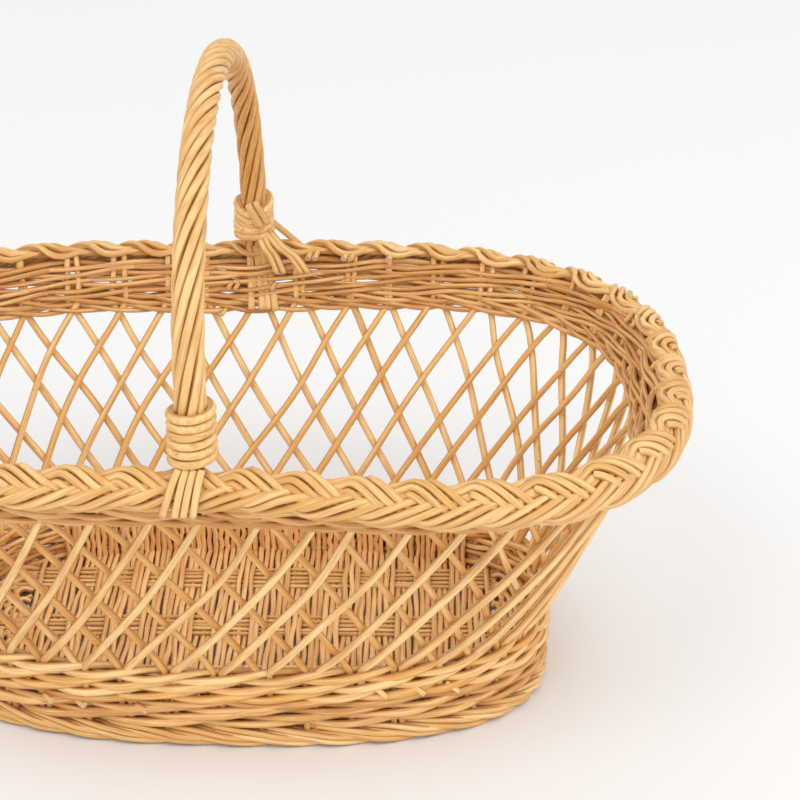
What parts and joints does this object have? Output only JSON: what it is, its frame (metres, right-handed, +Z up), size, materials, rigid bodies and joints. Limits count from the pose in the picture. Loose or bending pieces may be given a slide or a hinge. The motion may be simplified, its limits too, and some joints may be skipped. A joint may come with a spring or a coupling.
{
  "type": "oval willow shopping basket",
  "caption": "Oval open-lattice wicker basket on a banded foot, with a rolled plaited rim and a fixed roped hoop handle bound to it.",
  "frame": {"origin": "on the ground, under the middle of the foot", "axes": "+X along the length towards the fuller end, +Y to the back, +Z up along the handle"},
  "size_m": [0.4757, 0.3042, 0.3442],
  "materials": {
    "pale_willow": "satin, peeled white willow",
    "stake_willow": "satin, peeled willow",
    "buff_willow": "satin, light buff willow",
    "base_willow": "matt, buff boiled willow"
  },
  "bodies": {
    "root": {"foot_border": "pale_willow", "base_weave": "base_willow", "base_bundle_1": "pale_willow", "base_bundle_2": "pale_willow", "base_bundle_3": "pale_willow", "lower_siding": "buff_willow", "lower_wale": "pale_willow", "upper_wale": "buff_willow", "upper_siding": "buff_willow", "rim_border": "pale_willow", "handle_hoop": "pale_willow", "front_binding": "pale_willow", "back_binding": "pale_willow", "front_tails": "pale_willow", "back_tails": "pale_willow", "stake_pair_01": "stake_willow", "stake_pair_02": "stake_willow", "stake_pair_03": "stake_willow", "stake_pair_04": "stake_willow", "stake_pair_05": "stake_willow", "stake_pair_06": "stake_willow", "stake_pair_07": "stake_willow", "stake_pair_08": "stake_willow", "stake_pair_09": "stake_willow", "stake_pair_10": "stake_willow", "stake_pair_11": "stake_willow", "stake_pair_12": "stake_willow", "stake_pair_13": "stake_willow", "stake_pair_14": "stake_willow", "stake_pair_15": "stake_willow", "stake_pair_16": "stake_willow", "stake_pair_17": "stake_willow", "stake_pair_18": "stake_willow", "stake_pair_19": "stake_willow", "stake_pair_20": "stake_willow", "stake_pair_21": "stake_willow", "stake_pair_22": "stake_willow", "stake_pair_23": "stake_willow", "stake_pair_24": "stake_willow", "stake_pair_25": "stake_willow", "stake_pair_26": "stake_willow", "stake_pair_27": "stake_willow", "stake_pair_28": "stake_willow", "stake_pair_29": "stake_willow", "stake_pair_30": "stake_willow", "stake_pair_31": "stake_willow", "stake_pair_32": "stake_willow", "stake_pair_33": "stake_willow", "stake_pair_34": "stake_willow", "stake_pair_35": "stake_willow", "stake_pair_36": "stake_willow", "stake_pair_37": "stake_willow", "stake_pair_38": "stake_willow", "stake_pair_39": "stake_willow", "stake_pair_40": "stake_willow", "stake_pair_41": "stake_willow", "stake_pair_42": "stake_willow", "stake_pair_43": "stake_willow", "stake_pair_44": "stake_willow"}
  },
  "joints": []
}
